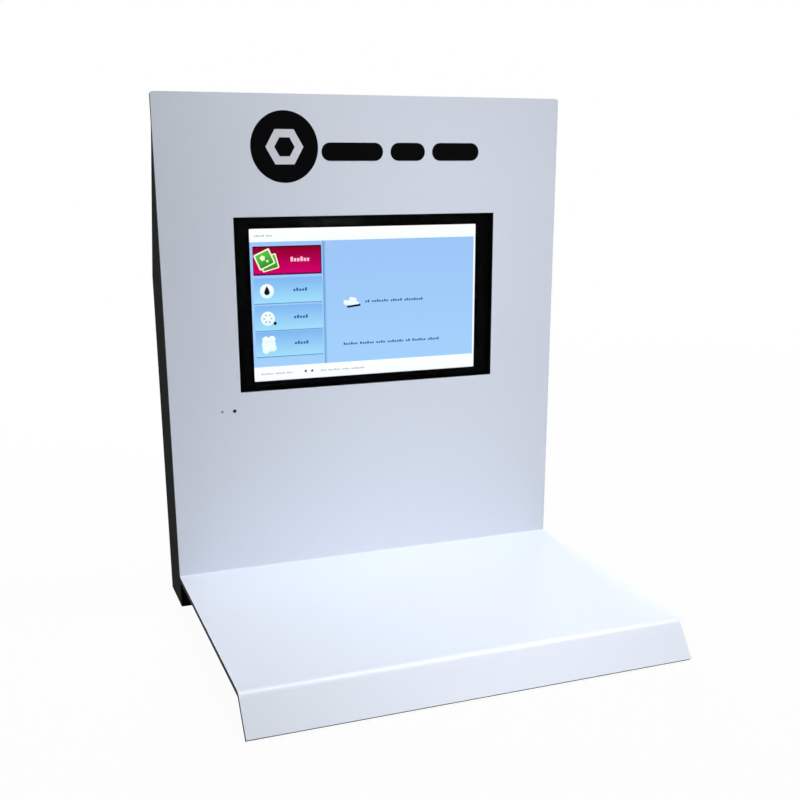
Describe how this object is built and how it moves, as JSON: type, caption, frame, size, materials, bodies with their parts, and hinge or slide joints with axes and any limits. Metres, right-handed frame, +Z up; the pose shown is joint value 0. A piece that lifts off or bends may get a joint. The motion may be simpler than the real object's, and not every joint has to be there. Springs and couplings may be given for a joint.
{
  "type": "touchscreen kiosk",
  "caption": "Counter-top touchscreen kiosk: upright white panel folded into a display shelf with a sloping front lip, touch display in the panel, and a black housing with a rear service door.",
  "frame": {"origin": "middle of the footprint, on the surface that the kiosk stands on", "axes": "+X to the right seen from the front, +Y to the back, +Z up"},
  "size_m": [0.375, 0.3256, 0.4545],
  "materials": {
    "black_acrylic": "cast acrylic sheet, polished",
    "white_laminate": "white gloss face laminate",
    "rubber": "moulded rubber",
    "foam": "closed-cell foam tape",
    "touch_glass": "glass with a black printed border",
    "display": "lit display",
    "zinc_steel": "zinc-plated steel",
    "steel_screws": "zinc-plated steel",
    "clear_acrylic": "clear acrylic",
    "board": "solder-masked glass epoxy",
    "brass": "turned brass",
    "aluminium": "black anodised extrusion",
    "chip_plastic": "moulded epoxy",
    "socket_plastic": "moulded nylon",
    "receiver_lens": "dark infrared-passing plastic",
    "indicator_lens": "clear water-white plastic",
    "black_plastic": "moulded, lightly textured",
    "speaker": "coated cone in a steel basket",
    "lead_insulation": "flexible insulation",
    "ribbon": "flat flexible circuit"
  },
  "bodies": {
    "kiosk": {"back_screws": "steel_screws", "back_wrap": "black_acrylic", "base_plate": "black_acrylic", "board_chips": "chip_plastic", "board_sockets": "socket_plastic", "board_spacers": "brass", "card_socket": "chip_plastic", "corner_strips": "black_acrylic", "data_port": "zinc_steel", "display_module": "display", "display_ribbon": "ribbon", "face_laminate": "white_laminate", "front_sheet": "black_acrylic", "glass_gasket": "foam", "inner_screws": "steel_screws", "input_board": "board", "input_panel": "black_plastic", "input_posts": "socket_plastic", "lock_strike": "black_acrylic", "lower_frame_leaf": "zinc_steel", "lower_front_wall": "black_acrylic", "lower_hinge_pin": "zinc_steel", "module_tray": "zinc_steel", "mount_blocks": "clear_acrylic", "player_board": "board", "power_inlet": "black_plastic", "power_leads": "lead_insulation", "processor_heat_sink": "aluminium", "remote_receiver": "receiver_lens", "rubber_feet": "rubber", "sensor_board": "board", "sensor_posts": "socket_plastic", "side_panel_left": "black_acrylic", "side_panel_right": "black_acrylic", "signal_leads": "lead_insulation", "speaker_leads": "lead_insulation", "speaker_left": "speaker", "speaker_right": "speaker", "status_indicator": "indicator_lens", "switch_housing": "black_plastic", "tact_switches": "chip_plastic", "touch_glass": "touch_glass", "upper_frame_leaf": "zinc_steel", "upper_hinge_pin": "zinc_steel"},
    "door": {"service_door": "black_acrylic", "upper_door_leaf": "zinc_steel", "lower_door_leaf": "zinc_steel", "door_screws": "steel_screws", "lock_barrel": "zinc_steel", "lock_nut": "zinc_steel"},
    "lock": {"lock_plug": "zinc_steel", "lock_cam": "zinc_steel", "lock_cam_screw": "steel_screws"},
    "rocker": {"power_rocker": "black_plastic"},
    "key_power": {"key_power": "black_plastic"},
    "key_menu": {"key_menu": "black_plastic"},
    "key_up": {"key_up": "black_plastic"},
    "key_down": {"key_down": "black_plastic"},
    "key_enter": {"key_enter": "black_plastic"}
  },
  "joints": [
    {"name": "door_swing", "type": "hinge", "parent": "kiosk", "child": "door", "pos_m": [-0.1195, 0.16026, 0.157], "axis": [0, 0, 1], "range_deg": [0, 110]},
    {"name": "lock_turn", "type": "hinge", "parent": "door", "child": "lock", "pos_m": [0.104, 0.15776, 0.157], "axis": [0, 1, 0], "range_deg": [0, 90]},
    {"name": "rocker_tilt", "type": "hinge", "parent": "kiosk", "child": "rocker", "pos_m": [-0.054, 0.15676, 0.031], "axis": [-1, 0, 0], "range_deg": [0, 14]},
    {"name": "key_power_press", "type": "slide", "parent": "kiosk", "child": "key_power", "axis": [0, -1, 0], "range_m": [0, 0.0008], "stiffness_N_per_m": 300},
    {"name": "key_menu_press", "type": "slide", "parent": "kiosk", "child": "key_menu", "axis": [0, -1, 0], "range_m": [0, 0.0008], "stiffness_N_per_m": 300},
    {"name": "key_up_press", "type": "slide", "parent": "kiosk", "child": "key_up", "axis": [0, -1, 0], "range_m": [0, 0.0008], "stiffness_N_per_m": 300},
    {"name": "key_down_press", "type": "slide", "parent": "kiosk", "child": "key_down", "axis": [0, -1, 0], "range_m": [0, 0.0008], "stiffness_N_per_m": 300},
    {"name": "key_enter_press", "type": "slide", "parent": "kiosk", "child": "key_enter", "axis": [0, -1, 0], "range_m": [0, 0.0008], "stiffness_N_per_m": 300}
  ]
}
